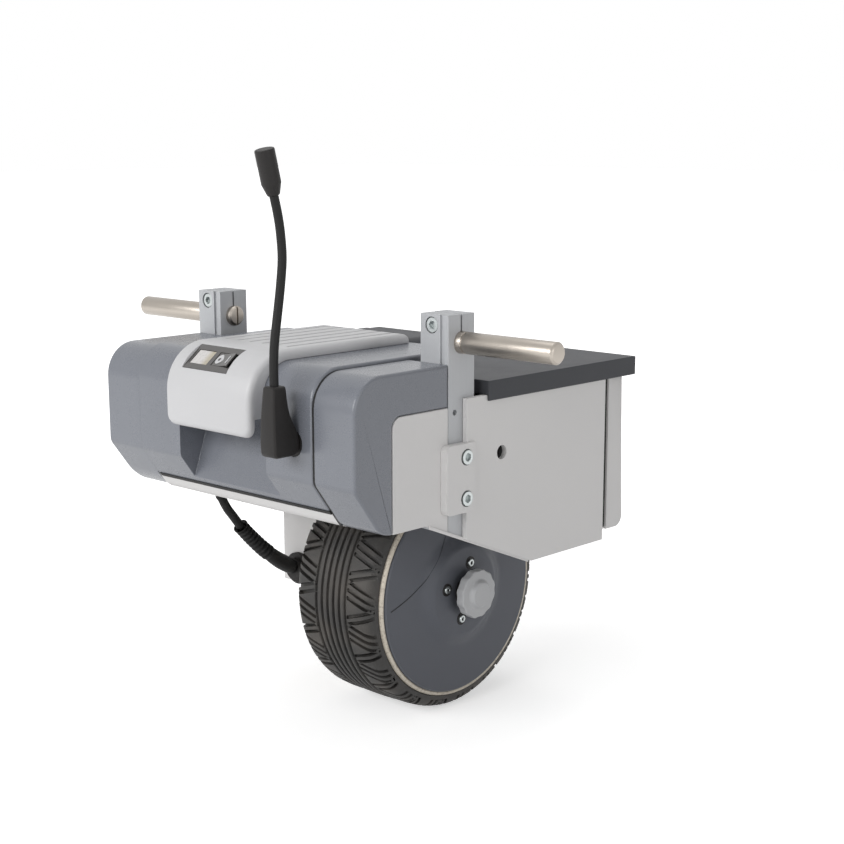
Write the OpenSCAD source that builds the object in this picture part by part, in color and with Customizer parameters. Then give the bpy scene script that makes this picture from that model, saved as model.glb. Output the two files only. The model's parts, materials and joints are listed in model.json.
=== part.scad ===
// Power assist drive unit for a wheelchair: a battery pack slides into a frame that carries
// one motor wheel, and two clamped pins hang the unit on the chair.
// Lengths in millimetres, +X to the unit's right, +Y to its front, +Z up, floor at Z = 0.
// Inside the modules Y counts from the flat rear face of the body.

/* [Body] */
// Width over the end caps
body_w = 262; // [250:1:290]
// Length from the face of the control panel to the front cover
unit_l = 305; // [300:1:330]
// Height of the end caps' top face above the floor
body_top = 291; // [287:1:299]
// Height of the body's underside at the rear
body_base = 184; // [179:1:187]
// Height at which the rear face starts to slope inwards
rear_low = 218; // [210:1:230]
// How far the sloping lower rear face runs forwards
bevel_run = 25; // [18:1:30]
// Radius of the rounded top rear edge
top_round = 24; // [21:1:28]
// Wall thickness of the plastic shells
shell = 3; // [2:0.5:4]

/* [End caps] */
// Depth of the cap's rear band, seen from the side
cap_depth = 35; // [30:1:42]
// Height of the cap's top band, seen from the side
band_h = 29; // [24:1:32]
// Radius of the inner corner between the two bands
band_round = 8; // [4:1:12]

/* [Battery pack] */
// Width of the battery pack
pack_w = 184; // [170:1:188]
// Length of the battery pack behind its rear face
pack_l = 145; // [135:1:145]
// How far the pack's top stands above the end caps
pack_rise = 2; // [0:0.5:4]
// Width of the finger recess
recess_w = 92; // [80:1:100]
// Depth of the finger recess below the panel lip
recess_depth = 27; // [20:1:32]
// Height of the lower end of the finger recess
recess_low = 201; // [200:1:209]
// Height of the roof of the finger recess
recess_roof = 255; // [251:1:259]
// Width of one battery block
block_w = 84; // [70:1:85]
// Length of one battery block
block_l = 96; // [80:1:100]
// Height of one battery block
block_h = 78; // [60:1:84]

/* [Control panel] */
// Width of the panel
panel_w = 90; // [84:1:96]
// How far the panel stands behind the rear face
panel_proud = 13; // [12:1:16]
// How far the panel stands above the pack's top
panel_rise = 7; // [6:0.5:9]
// Radius of the panel's bend
panel_round = 33; // [31:1:36]
// Length of the ribbed cover ahead of the rear face
panel_l = 140; // [125:1:142]
// Height of the lower edge of the panel's lip
lip_low = 243; // [237:1:247]
// Thickness of the lip that the fingers pull
lip_t = 5; // [4:0.5:7]
// Number of grooves along the cover
rib_count = 6; // [4:1:7]
// Spacing of the grooves
rib_pitch = 13; // [10:1:14]
// Width of a groove
rib_w = 1.6; // [1:0.2:2.4]
// Depth of a groove
rib_depth = 1.4; // [0.8:0.2:2]
// Width of the display window
window_w = 47; // [44:1:52]
// Height of the display window along its slope
window_h = 23; // [20:1:25]
// Sideways place of the window's middle
window_x = -7; // [-14:1:0]
// Lean of the window from level
window_tilt = 38; // [32:1:44]
// Thickness of the window pane
window_t = 2; // [1.5:0.5:3]
// Width of the indicator lens
lens_w = 18; // [14:1:19]
// Height of the indicator lens
lens_h = 13; // [10:1:15]
// Width of the power rocker
rocker_w = 18; // [15:1:19]
// Height of the power rocker
rocker_h = 12; // [9:1:14]
// Tilt of the rocker to either side
rocker_tilt = 7; // [4:1:9]

/* [Frame] */
// Thickness of the outer side plates
plate_t = 4; // [3:0.5:5]
// Height of the side plates' top edge
plate_top = 267; // [263:1:271]
// Height of the side plates' lower edge
plate_low = 140; // [133:1:147]
// Place where the lower edge starts to slope
slope_start = 67; // [60:1:75]
// Place where the slope ends
slope_end = 173; // [165:1:185]
// Depth of the front cover ahead of the side plates
cover_l = 35; // [30:1:42]
// Place of the side plates' rear edge, over the bar
plate_rear = 102.5; // [98:0.5:106]
// Lower end of the ear that clamps the bar
ear_low = 189; // [183:1:195]
// Upper end of the ear
ear_high = 237; // [231:1:245]
// Radius of the side plates' access hole
port_r = 5; // [3:0.5:7]
// Place of the access hole
port_y = 139; // [130:1:150]
// Height of the access hole
port_z = 225; // [215:1:235]
// Height of the deck's upper face
deck_top = 196; // [194:0.5:199]
// Thickness of the deck
deck_t = 5; // [4:0.5:6]
// Thickness of the castings' cheeks
cheek_t = 6; // [4:0.5:8]
// Wall thickness of the bar guides
guide_wall = 4; // [3:0.5:6]
// Height of the electronics lid above the side plates
lid_h = 10; // [7:1:12]
// How far the lid's sides hang over the plates
lid_lap = 4; // [3:0.5:7]
// Length of the hump on the lid
hump_l = 30; // [20:1:40]

/* [Mounting bars] */
// Width of the bars
bar_w = 25.5; // [22:0.5:27]
// Depth of the bars, front to back
bar_d = 26; // [22:0.5:27]
// Place of the bars' rear faces
bar_y = 88.6; // [86:0.2:92]
// Height of the bars' top ends
bar_top = 324; // [319:1:335]
// Height of the bars' lower ends
bar_low = 175; // [170:1:185]
// Diameter of the mounting pins
pin_d = 15; // [12:0.5:16]
// Distance of a pin's tip from the middle
pin_reach = 214; // [190:1:240]
// Distance of the pins' axis below the bars' top ends
pin_drop = 19; // [18:0.5:22]
// Length of pin that shows inside the bar
pin_tail = 4.5; // [2:0.5:8]
// Diameter of the small hole in a bar's outer face
bar_hole_d = 4; // [3:0.5:5]
// Width of the slit that the pinch screw closes
slit_w = 1.6; // [1:0.2:2.4]
// Width of the groove in a bar's rear face
groove_w = 3.5; // [2:0.5:5]
// Depth of that groove
groove_d = 1.5; // [1:0.5:2.5]
// Distance of that groove from the bar's left face
groove_x = 18; // [16:0.5:19]
// Thread diameter of the clamp and pinch screws
screw_d = 6; // [5:0.5:6]
// Diameter of their heads
head_d = 10; // [9:0.5:12]
// Height of their heads
head_h = 5; // [4:0.5:6]

/* [Wheel] */
// Outer diameter of the tyre
wheel_d = 192; // [184:1:194]
// Width of the tyre between the rim lips
tyre_w = 73; // [64:1:76]
// Distance of the axle behind the front cover's face
axle_back = 96; // [94:1:100]
// Diameter of the axle
axle_d = 17; // [14:1:20]
// Thickness of the tyre over its seat
tyre_t = 15.5; // [13:0.5:17]
// How far the tyre bulges out past its seat on each side
tyre_bulge = 4.5; // [3:0.5:5]
// Fall of the tread from its middle to its shoulders
crown = 1.5; // [0.5:0.5:3]
// Radius of the tyre's shoulders
shoulder = 10; // [6:0.5:10.5]
// Width of the rim lip beside the tyre
lip_w = 5.5; // [4:0.5:6]
// Height of the rim lip above the tyre's seat
lip_h = 3; // [2:0.5:4]
// Thickness of the rim
rim_t = 6; // [4:0.5:8]
// Number of grooves around the tread
tread_count = 5; // [3:1:6]
// Spacing of the tread grooves
tread_pitch = 7; // [5:0.5:8]
// Width of a tread groove
tread_w = 2.2; // [1.5:0.1:3]
// Depth of a tread groove
tread_d = 2; // [1:0.5:3]
// Radius of the raised middle of the hub cover
boss_r = 34; // [30:1:38]
// Height of the raised middle
boss_h = 6.5; // [4:0.5:8]
// Radius of the circle of the hub screws
hub_pcd_r = 22; // [20.5:0.5:27]
// Diameter of the hub screws
hub_screw_d = 3; // [2.5:0.5:3.5]
// Radius of the hub knob
knob_r = 19; // [16:0.5:20]
// Thickness of the hub knob's grip
knob_t = 7; // [5:0.5:9]
// Gap behind the hub knob's grip
knob_gap = 7; // [5:0.5:9]

/* [Leg] */
// Distance of the leg's inner face from the middle
leg_in = 46; // [44:1:50]
// Distance of the leg's outer face from the middle
leg_out = 111; // [107:1:114]
// Depth of the leg, front to back
leg_l = 84; // [76:1:88]
// Height of the leg's lower end
leg_low = 83.5; // [80:0.5:86]
// Wall thickness of the leg
leg_t = 6; // [5:0.5:8]
// Sideways place of the motor lead
lead_x = -92; // [-94:1:-90]
// Diameter of the motor lead
lead_d = 7; // [6:0.5:8]

/* [Control lead] */
// Sideways place of the plug
plug_x = 73; // [70:1:76]
// Width of the plug
plug_w = 14; // [12:0.5:16]
// Diameter of the control cable
cable_d = 6; // [5:0.5:7]

/* [Fits] */
// Gap at the seams between the pack and the end caps
seam = 1; // [0.6:0.1:1.5]
// Gap between sliding flat faces
slide_gap = 0.3; // [0.2:0.05:0.5]
// Radial clearance of running fits
run_gap = 0.04; // [0.02:0.01:0.08]
// Clearance of pieces that seat in a pocket
seat_gap = 0.1; // [0.05:0.05:0.3]

/* [Hidden] */
$fn = 64;

rear_y = panel_proud - unit_l / 2;
front_y = unit_l - panel_proud;
plate_front = front_y - cover_l;
axle_y = front_y - axle_back;
pin_z = bar_top - pin_drop;
deck_low = deck_top - deck_t;
half_w = body_w / 2;
pack_half = pack_w / 2;
cap_in = pack_half + seam;
pack_top = body_top + pack_rise;
pack_base = deck_top + slide_gap;
bevel_slope = bevel_run / (rear_low - body_base);
band_low = body_top - band_h;
panel_top = pack_top + panel_rise;
plate_in = half_w + seat_gap;
plate_out = plate_in + plate_t;
bar_out = half_w - slide_gap;
bar_in = bar_out - bar_w;
bar_mid_y = bar_y + bar_d / 2;
bar_front = bar_y + bar_d;
guide_in = bar_in - slide_gap - guide_wall;
guide_rear = bar_y - slide_gap - guide_wall;
guide_front = bar_front + slide_gap + guide_wall;
cap_front = bar_y - slide_gap;
slope_rise = (body_base - plate_low) / (slope_end - slope_start);
ear_lap = 8;
ear_l = 28.5;
ear_out = plate_out + plate_t / 2;
clamp_seat = ear_out - head_h + 1;
wheel_r = wheel_d / 2;
seat_r = wheel_r - tyre_t;
rim_half = tyre_w / 2 + lip_w;
drum_r = seat_r - rim_t;
bearing_wall = 9;
bearing_r = axle_d / 2 + bearing_wall;
bearing_seat = 6;
bearing_w = 10;
end_plate_t = 6;
end_plate_in = 10;
end_plate_x = rim_half - end_plate_in;
rim_wall = 8;
cover_t = 2.6;
hub_screw_in = 5;
cover_x = rim_half + cover_t;
boss_x = cover_x + boss_h;
knob_x = boss_x + knob_gap;
knob_stem_r = 12;
knob_pivot_r = 9;
knob_lift = 0.2;
knob_rise = 3.5;
magnet_t = 6;
stator_gap = 1;
stator_r = drum_r - magnet_t - stator_gap;
pinch_x = 10;
bore_gap = 0.7;
bar_hole_y = 6.4;
bar_hole_z = 47;
pinch_z = pin_z + (pin_d + screw_d) / 2 + 1;
skirt = 1.6;
lid_out = plate_out + slide_gap + skirt;
lid_rear = guide_front + 4;
lid_top = plate_top + lid_h;
lid_low = plate_top - lid_lap;
bay_front = pack_l + 1;
panel_end = min(panel_l, pack_l - 3);
rail_x = 60;
rail_w = 8;
arch_half = rim_half + 4;
arch_l = 64;
arch_t = 1.5;
arch_lap = 3;
foot_h = 6;
bay_gap = 14;
controller_drop = 12;
dock_half = 30;
dock_l = 9;
dock_h = 40;
contact_w = 3;
contact_h = 16;
contact_z = 22;
contact_pitch = 18;
contact_gap = 0.5;
block_back = pack_l - shell - 10;

window_seat = sqrt(pow(panel_round, 2) - pow(window_h / 2, 2)) - window_t;
bend_y = top_round - panel_round + panel_proud;
bend_z = panel_round - top_round - panel_rise;
case_high = top_round + bend_z * cos(window_tilt) - bend_y * sin(window_tilt);
board_drop = window_seat - case_high - slide_gap;
board_t = 1.6;
frame_t = 2;
window_edge = 3;
lens_x = window_edge + lens_w / 2 - window_w / 2;
lens_drop = 0.4;
rocker_x = window_w / 2 - window_edge - rocker_w / 2;
rocker_gap = 0.6;
rocker_keel = 1.8;
rocker_pin_r = 1;
rocker_ear = 1.5;
rocker_edge = 4.6;
rocker_dip = 0.7;
rocker_side = 1.4;
rocker_pivot = board_t - board_drop + rocker_keel + slide_gap;

leg_rear = axle_y - leg_l / 2;
leg_front = axle_y + leg_l / 2;
leg_screw_in = leg_t + head_d / 2 + 3;
axle_end = 12;
nut_w = 7;
nut_h = 10;
stator_half = 16;
slot_w = 4;
slot_d = 16;
slots = 18;
lead_plug_r = 8;
collar_r = 9;
socket_wall = 3;
socket_flange = 5;
socket_out = 4;
socket_in = 18;
gland_wall = 4;
gland_h = 7;
gland_low = body_base - gland_h;
lead_y = 72;

// Motor lead from the gland under the tray to its boot, then down to the plug at the axle
boot_line = [[-62, 46], [-55, 37], [-48, 28.3], [-40, 19.8], [-32, 12.4], [-24, 6.2], [-17.5, 2.4],
    [-12.5, 0], [-8, 0]];
boot_points = [for (p = boot_line) [lead_x, leg_rear + p.x, wheel_r + p.y]];
gland_line = [5, -9, -13];
lead_line = [[-18, 25.5], [-13, 16.7], [-7, 9], [0, 0]];
lead_points = concat([for (z = gland_line) [lead_x, lead_y, body_base + z]],
    [for (p = lead_line) boot_points[0] + [0, p.x, p.y]]);
boot_end = boot_points[len(boot_points) - 1].y;
boot_steps = 24;
boot_grow = 1.5;
boot_rib = 0.9;

// Control cable from the top of its plug to its upper connector
cable_line = [[-15, 280], [-15, 295], [-14, 310], [-11, 328], [-8, 346], [-6, 364], [-7, 380], [-9, 392],
    [-12, 404]];
cable_points = [for (p = cable_line) [plug_x, p.x, p.y]];
cable_end = len(cable_points) - 1;
connector_l = 30;
connector_r = 6.5;
connector_neck = 8;
plug_z = 243;
plug_back = -22;
plug_foot = 3;
plug_drop = 7;
plug_neck = 20;
plug_neck_y = -9;
plug_corner = 3;
plug_pin_r = 5;
plug_pin_l = 13;
control_socket_r = 9;
control_socket_l = 18;

function arc(centre, r, from, to, steps = 10) =
    [for (i = [0:steps]) let (a = from + (to - from) * i / steps) centre + r * [cos(a), sin(a)]];

// Outline of the body seen from the side, closed at a given front place, pulled in by an inset
function body_rear(top, base, inset) = let (round = top_round - inset) concat(
    [[inset + bevel_slope * (rear_low - base), base + inset]],
    [[inset, rear_low]],
    arc([top_round, top - top_round], round, 180, 90));

// Outline of an end cap: a rear band and a top band joined by a rounded inner corner
function cap_outline() = concat(
    body_rear(body_top, body_base, 0),
    [[cap_front, body_top], [cap_front, band_low]],
    arc([cap_depth + band_round, band_low - band_round], band_round, 90, 180),
    [[cap_depth, body_base]]);

function pack_outline(inset, front) = concat(
    body_rear(pack_top, pack_base, inset),
    [[front, pack_top - inset], [front, pack_base + inset]]);

// The tyre's section as [radius, X] points: one side from the bead to the shoulder, then the tread
shoulder_sweep = 75;
tyre_turn = [wheel_r - crown - shoulder, tyre_w / 2 + tyre_bulge - shoulder];
tyre_edge = concat([[seat_r, tyre_w / 2], [seat_r + lip_h + seat_gap, tyre_w / 2]],
    [for (p = arc([0, 0], shoulder, 0, shoulder_sweep, 5)) tyre_turn + [p.y, p.x]]);
tyre_far_edge = [for (i = [len(tyre_edge) - 1:-1:0]) [tyre_edge[i].x, -tyre_edge[i].y]];
tread_line = [for (i = [6:-1:-6]) [wheel_r - crown * pow(i / 6, 2), tyre_turn.y * i / 6]];

// Lower edge of the side plates at a given place
function plate_edge(y) = body_base - slope_rise * max(0, y - slope_start);

// A tube swept along points, with a ring of corners square to the path at each point
function unit_of(v) = v / norm(v);
function heading(p, i) = unit_of(p[min(i + 1, len(p) - 1)] - p[max(i - 1, 0)]);
function tube_ring(c, t, r, sides) =
    let (u = unit_of(cross(t, [1, 0, 0])), w = cross(t, u))
    [for (k = [0:sides - 1]) c + r * (cos(360 * k / sides) * u + sin(360 * k / sides) * w)];
module tube_along(p, radii, sides = 10) {
    rings = [for (i = [0:len(p) - 1]) each tube_ring(p[i], heading(p, i), radii[i], sides)];
    last = (len(p) - 1) * sides;
    walls = [for (i = [0:len(p) - 2]) for (k = [0:sides - 1])
        let (a = i * sides + k, b = i * sides + (k + 1) % sides)
        each [[a, b, b + sides], [a, b + sides, a + sides]]];
    ends = [[for (k = [sides - 1:-1:0]) k], [for (k = [0:sides - 1]) last + k]];
    polyhedron(rings, concat(walls, ends));
}

module placed(tint) { color(tint) translate([0, rear_y, 0]) children(); }
module mirrored() { mirror([1, 0, 0]) children(); }
// Extrudes a side view, drawn in Y and Z, from one X to another
module along_x(from, to) { translate([from, 0, 0]) rotate([90, 0, 90]) linear_extrude(to - from) children(); }
module rod_x(from, to, r) { translate([from, 0, 0]) rotate([0, 90, 0]) cylinder(h = to - from, r = r); }
module rod_y(from, to, r) { translate([0, to, 0]) rotate([90, 0, 0]) cylinder(h = to - from, r = r); }
// Turns an outline of [radius, X] pairs about the wheel's axis
module turned(points) { rotate([0, 90, 0]) rotate_extrude() polygon(points); }
module at_axle() { translate([0, axle_y, wheel_r]) children(); }
module box(low, high) { translate(low) cube(high - low); }
// Frame of the display window, with its own Z square to the pane
module at_window() {
    translate([window_x, panel_round - panel_proud, panel_top - panel_round]) rotate([window_tilt, 0, 0])
        translate([0, 0, window_seat]) children();
}
module along_y(from, to) { translate([0, to, 0]) rotate([90, 0, 0]) linear_extrude(to - from) children(); }
module cap_screw(shank, socket = true) {
    difference() {
        union() {
            cylinder(h = head_h, d = head_d);
            translate([0, 0, -shank]) cylinder(h = shank, d = screw_d);
        }
        if (socket) translate([0, 0, head_h / 2]) cylinder(h = head_h, d = screw_d, $fn = 6);
    }
}

// Frame
// Pan under the battery pack, with two rails that the pack slides on
module base_tray() placed("silver") {
    strip_y = bevel_slope * (rear_low - deck_top);
    side = half_w - cheek_t;
    rear = cap_depth + seat_gap;
    along_x(-pack_half, pack_half) polygon([[strip_y, deck_top], [bevel_run, body_base], [rear + 1, body_base],
        [rear + 1, body_base + shell], [bevel_run + shell, body_base + shell], [strip_y + shell, deck_top]]);
    difference() {
        box([-side, rear, body_base], [side, guide_rear, deck_top]);
        box([shell - side, rear + shell, body_base + shell], [side - shell, guide_rear - shell, deck_top + 1]);
        translate([lead_x, lead_y, body_base - 1]) cylinder(h = shell + 2, r = lead_d / 2 + 1);
    }
    for (x = [-rail_x, rail_x]) translate([x, 0, 0])
        box([-rail_w / 2, bevel_run + shell, body_base], [rail_w / 2, guide_rear, deck_top]);
}
// A shell that is open towards the casting's cheek
module end_cap() {
    difference() {
        along_x(cap_in, half_w) polygon(cap_outline());
        along_x(cap_in + shell, half_w - shell) polygon(concat(body_rear(body_top, body_base, shell),
            [[cap_front - shell, body_top - shell], [cap_front - shell, band_low - 1],
                [cap_depth + 1, band_low - 1], [cap_depth + 1, body_base + shell]]));
    }
}
module right_end_cap() placed("dimgray") end_cap();
module left_end_cap() placed("dimgray") mirrored() end_cap();

module side_casting() {
    low = plate_edge(guide_front);
    high = band_low - seat_gap;
    difference() {
        union() {
            along_x(half_w - cheek_t, half_w) polygon(concat(
                arc([cap_depth + band_round + seat_gap, high - band_round], band_round, 180, 90),
                [[guide_front, high], [guide_front, low], [slope_start, body_base],
                    [cap_depth + seat_gap, body_base]]));
            box([guide_in, guide_rear, deck_low], [half_w, guide_front, high]);
        }
        box([guide_in + guide_wall, guide_rear + guide_wall, low - 1],
            [half_w + 1, guide_front - guide_wall, high + 1]);
    }
}
module right_side_casting() placed("lightgray") side_casting();
module left_side_casting() placed("lightgray") mirrored() side_casting();

module side_plate() {
    difference() {
        union() {
            along_x(plate_in, plate_out) polygon([[plate_rear, plate_top], [plate_front, plate_top],
                [plate_front, plate_low], [slope_end, plate_low], [plate_rear, plate_edge(plate_rear)]]);
            box([plate_in, bar_y - ear_lap, ear_low], [ear_out, bar_y - ear_lap + ear_l, ear_high]);
        }
        translate([0, port_y, port_z]) rod_x(plate_in - 1, plate_out + 1, port_r);
        clamp_places() rod_x(plate_in - 1, ear_out, screw_d / 2 + seat_gap);
        clamp_places() rod_x(clamp_seat, ear_out + 1, head_d / 2 + bore_gap);
    }
}
// Places of the sunk screws that press on the bar through the ear
module clamp_places() {
    margin = (ear_high - ear_low) / 5;
    for (z = [ear_low + margin, ear_high - margin]) translate([0, bar_mid_y - 1, z]) children();
}
module right_side_plate() placed("silver") side_plate();
module left_side_plate() placed("silver") mirrored() side_plate();
module clamp_screws() placed("gainsboro") {
    for (side = [0, 1]) mirror([side, 0, 0]) clamp_places() translate([clamp_seat, 0, 0]) rotate([0, 90, 0])
        cap_screw(clamp_seat - bar_out - seat_gap);
}

module wheel_deck() placed("silver") {
    difference() {
        union() {
            box([-half_w - seat_gap, guide_front, deck_low], [half_w + seat_gap, plate_front, deck_top]);
            box([-guide_in, guide_rear, deck_low], [guide_in, guide_front + 1, deck_top]);
        }
        leg_screw_places() cylinder(h = 4 * deck_t, d = screw_d + 2 * seat_gap, center = true);
        arch_room(0, deck_low - 1, deck_top + 1);
        arch_room(arch_lap, deck_top - arch_t, deck_top + 1);
    }
}
// Space over the tyre's top, seen from above, grown by a margin
module arch_room(grow, low, high) {
    half = arch_half + grow;
    reach = arch_l / 2 + grow;
    box([-half, axle_y - reach, low], [half, axle_y + reach, high]);
}
// Thin cover that lies in the rebate around the deck's opening, clear of the tyre's top
module wheel_arch() placed("silver") arch_room(arch_lap - seat_gap, deck_top - arch_t, deck_top);
module front_cover() placed("silver") {
    inset = 4;
    half = plate_in - inset;
    round = 8;
    low = plate_low + inset;
    difference() {
        along_x(-half, half) polygon(concat([[plate_front, lid_low], [plate_front, low]],
            arc([front_y - round, low + round], round, -90, 0), [[front_y, lid_low]]));
        along_x(shell - half, half - shell) polygon([[plate_front - 1, lid_low - shell],
            [plate_front - 1, low - 1], [front_y - shell, low - 1], [front_y - shell, lid_low - shell]]);
    }
}
// Lid that rests on the plates' top edges and hangs over their outer faces
module electronics_lid() placed("dimgray") {
    over = plate_out + slide_gap;
    under = plate_in - shell;
    notch = cap_in + shell;
    notch_front = bay_front + shell;
    difference() {
        union() {
            box([-lid_out, lid_rear, lid_low], [lid_out, front_y, lid_top]);
            hump(0, bay_front, bay_front + hump_l);
        }
        box([-over, lid_rear - 1, lid_low - 1], [over, front_y - shell, plate_top]);
        difference() {
            box([-under, lid_rear + shell, plate_top - 1], [under, front_y - shell, lid_top - shell]);
            box([-notch - shell, lid_rear, lid_low], [notch + shell, notch_front, lid_top]);
        }
        box([-notch, lid_rear - 1, lid_low - 1], [notch, bay_front, lid_top + 1]);
        hump(shell, notch_front, bay_front + hump_l - shell);
    }
}
// Hump that carries the line of the ribbed cover on over the lid
module hump(inset, rear, front) {
    high = pack_top + 2 - inset;
    half = panel_w / 2 - inset;
    low = lid_top - 2 * shell;
    round = 12;
    along_y(rear, front) polygon(concat([[half, low]], arc([half - round, high - round], round, 0, 90),
        arc([round - half, high - round], round, 90, 180), [[-half, low]]));
}
module motor_controller() placed("darkgray") {
    half = 80;
    rear = bay_front + bay_gap;
    front = plate_front - 6;
    low = deck_top + foot_h;
    high = plate_top - controller_drop;
    fin_h = 10;
    fin_pitch = 10;
    foot = 10;
    difference() {
        box([-half, rear, low], [half, front, high]);
        for (i = [-7:7]) translate([i * fin_pitch, 0, 0])
            box([-fin_pitch / 4, rear - 1, high - fin_h], [fin_pitch / 4, front + 1, high + 1]);
    }
    for (side = [-1, 1]) translate([side * (half - foot / 2), 0, 0])
        box([-foot / 2, rear, deck_top], [foot / 2, front, low]);
}
module dock_connector() placed("black") difference() {
    box([-dock_half, bay_front, deck_top], [dock_half, bay_front + dock_l, deck_top + dock_h]);
    contact_places() contact(contact_gap, bay_front - 1, bay_front + dock_l - 2);
}
module contact_places() {
    for (i = [-1:1]) translate([i * contact_pitch, 0, deck_top + contact_z]) children();
}
module contact(grow, rear, front) {
    w = contact_w / 2 + grow;
    h = contact_h / 2 + grow;
    box([-w, rear, -h], [w, front, h]);
}

// Leg, axle and motor lead
// A hollow leg, open below, with slots that the axle drops into
module wheel_leg() placed("silver") {
    difference() {
        box([-leg_out, leg_rear, leg_low], [-leg_in, leg_front, deck_low]);
        box([leg_t - leg_out, leg_rear + leg_t, leg_low - 1],
            [-leg_in - leg_t, leg_front - leg_t, deck_low - leg_t]);
        leg_screw_places() cylinder(h = 4 * leg_t, d = screw_d + 2 * seat_gap, center = true);
        at_axle() rod_x(-leg_out - 1, 1 - leg_in, axle_d / 2 + seat_gap);
        translate([0, axle_y, 0]) box([-leg_out - 1, -axle_d / 2 - seat_gap, leg_low - 1],
            [1 - leg_in, axle_d / 2 + seat_gap, wheel_r]);
        at_socket() rod_y(-1, leg_t + 1, lead_plug_r + socket_wall + seat_gap);
    }
}
module leg_screw_places() {
    for (x = [leg_screw_in - leg_out, -leg_in - leg_screw_in]) for (side = [-1, 1])
        translate([x, axle_y + side * (leg_l / 2 - leg_screw_in), deck_low]) children();
}
// Screws driven up from inside the leg, through its top wall, into the deck
module leg_screws() placed("gainsboro") leg_screw_places() translate([0, 0, -leg_t]) mirror([0, 0, 1])
    cap_screw(leg_t + deck_t - 1);
module at_socket() { translate([lead_x, leg_rear, wheel_r]) children(); }
module motor_socket() placed("dimgray") at_socket() difference() {
    union() {
        rod_y(-socket_out, 0, lead_plug_r + socket_flange);
        rod_y(-1, socket_in, lead_plug_r + socket_wall);
    }
    rod_y(-socket_out - 1, socket_in - socket_wall, lead_plug_r + seat_gap);
}
module lead_plug() placed("black") at_socket() {
    rod_y(boot_end - leg_rear, -socket_out, collar_r);
    rod_y(-socket_out - 1, socket_in - socket_wall - 1, lead_plug_r);
}
module lead_gland() placed("black") translate([lead_x, lead_y, 0]) difference() {
    union() {
        translate([0, 0, gland_low]) cylinder(h = body_base - gland_low, r = lead_d / 2 + gland_wall);
        translate([0, 0, body_base - 1]) cylinder(h = shell + 1, r = lead_d / 2 + 1 - seat_gap);
    }
    translate([0, 0, gland_low - 1]) cylinder(h = body_base, r = lead_d / 2 + seat_gap);
}
module motor_lead() placed("black") tube_along(lead_points, [for (p = lead_points) lead_d / 2]);
// A place along the boot, from 0 at its thin end to 1 at the plug
function boot_at(t) = let (n = len(boot_points) - 1, i = min(n - 1, floor(t * n)), f = t * n - i)
    boot_points[i] * (1 - f) + boot_points[i + 1] * f;
function boot_r(i) = lead_d / 2 + boot_grow * (1 + i / boot_steps) + (i % 2 == 0 ? 0 : boot_rib);
module lead_boot() placed("black")
    tube_along([for (i = [0:boot_steps]) boot_at(i / boot_steps)], [for (i = [0:boot_steps]) boot_r(i)], 8);
module axle() placed("lightslategray") at_axle()
    rod_x(-leg_out - axle_end, end_plate_x + end_plate_t + 2, axle_d / 2);
module axle_nut() placed("gainsboro") at_axle() difference() {
    translate([-leg_out - nut_h, 0, 0]) rotate([0, 90, 0]) cylinder(h = nut_h, r = axle_d / 2 + nut_w, $fn = 6);
    rod_x(-leg_out - nut_h - 1, 1 - leg_out, axle_d / 2 + seat_gap);
}
module stator() placed("peru") at_axle() difference() {
    rod_x(-stator_half, stator_half, stator_r);
    rod_x(-stator_half - 1, stator_half + 1, axle_d / 2 + seat_gap);
    for (i = [0:slots - 1]) rotate([i * 360 / slots, 0, 0])
        box([-stator_half - 1, -slot_w / 2, stator_r - slot_d], [stator_half + 1, slot_w / 2, stator_r + 1]);
}

// Wheel
module tyre() placed("darkslategray") at_axle() difference() {
    turned(concat(tyre_edge, tread_line, tyre_far_edge));
    for (i = [0:tread_count - 1]) translate([(i - (tread_count - 1) / 2) * tread_pitch, 0, 0])
        turned([[wheel_r - tread_d, -tread_w / 2], [wheel_r + 1, -tread_w / 2], [wheel_r + 1, tread_w / 2],
            [wheel_r - tread_d, tread_w / 2]]);
}
module wheel_rim() placed("rosybrown") at_axle() {
    half = tyre_w / 2;
    lip_r = seat_r + lip_h;
    wall = rim_wall - rim_half;
    bearing_end = bearing_w - rim_half;
    turned([[bearing_r, -rim_half], [lip_r, -rim_half], [lip_r, -half], [seat_r, -half], [seat_r, half],
        [lip_r, half], [lip_r, rim_half], [drum_r, rim_half], [drum_r, wall],
        [bearing_r + bearing_seat, wall], [bearing_r + bearing_seat, bearing_end], [bearing_r, bearing_end]]);
}
module magnet_ring() placed("gray") at_axle() difference() {
    half = stator_half + 2;
    rod_x(-half, half, drum_r);
    rod_x(-half - 1, half + 1, drum_r - magnet_t);
}
module motor_end_plate() placed("silver") at_axle() difference() {
    face = end_plate_x + end_plate_t;
    collar = bearing_r + bearing_seat;
    turned([[bearing_r, face - bearing_w], [collar, face - bearing_w], [collar, end_plate_x],
        [drum_r, end_plate_x], [drum_r, face], [bearing_r, face]]);
    hub_screw_places() rod_x(face - hub_screw_in - seat_gap, face + 1, hub_screw_d / 2 + seat_gap);
}
module wheel_bearings() placed("lightsteelblue") at_axle() {
    for (x = [-rim_half, end_plate_x + end_plate_t - bearing_w]) difference() {
        rod_x(x, x + bearing_w, bearing_r);
        rod_x(x - 1, x + bearing_w + 1, axle_d / 2 + run_gap);
    }
}
module hub_cover() placed("dimgray") at_axle() {
    outer = seat_r + 1;
    flank = 10;
    pivot = knob_pivot_r + run_gap;
    difference() {
        turned([[pivot, rim_half], [outer, rim_half], [outer, cover_x], [boss_r + flank, cover_x],
            [boss_r, boss_x], [pivot, boss_x]]);
        turned([[pivot + 4, rim_half - 1], [boss_r + flank - 2, rim_half - 1], [boss_r - 2, boss_x - cover_t],
            [pivot + 4, boss_x - cover_t]]);
        hub_screw_places() rod_x(0, boss_x + 1, hub_screw_d / 2 + seat_gap);
    }
}
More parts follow.
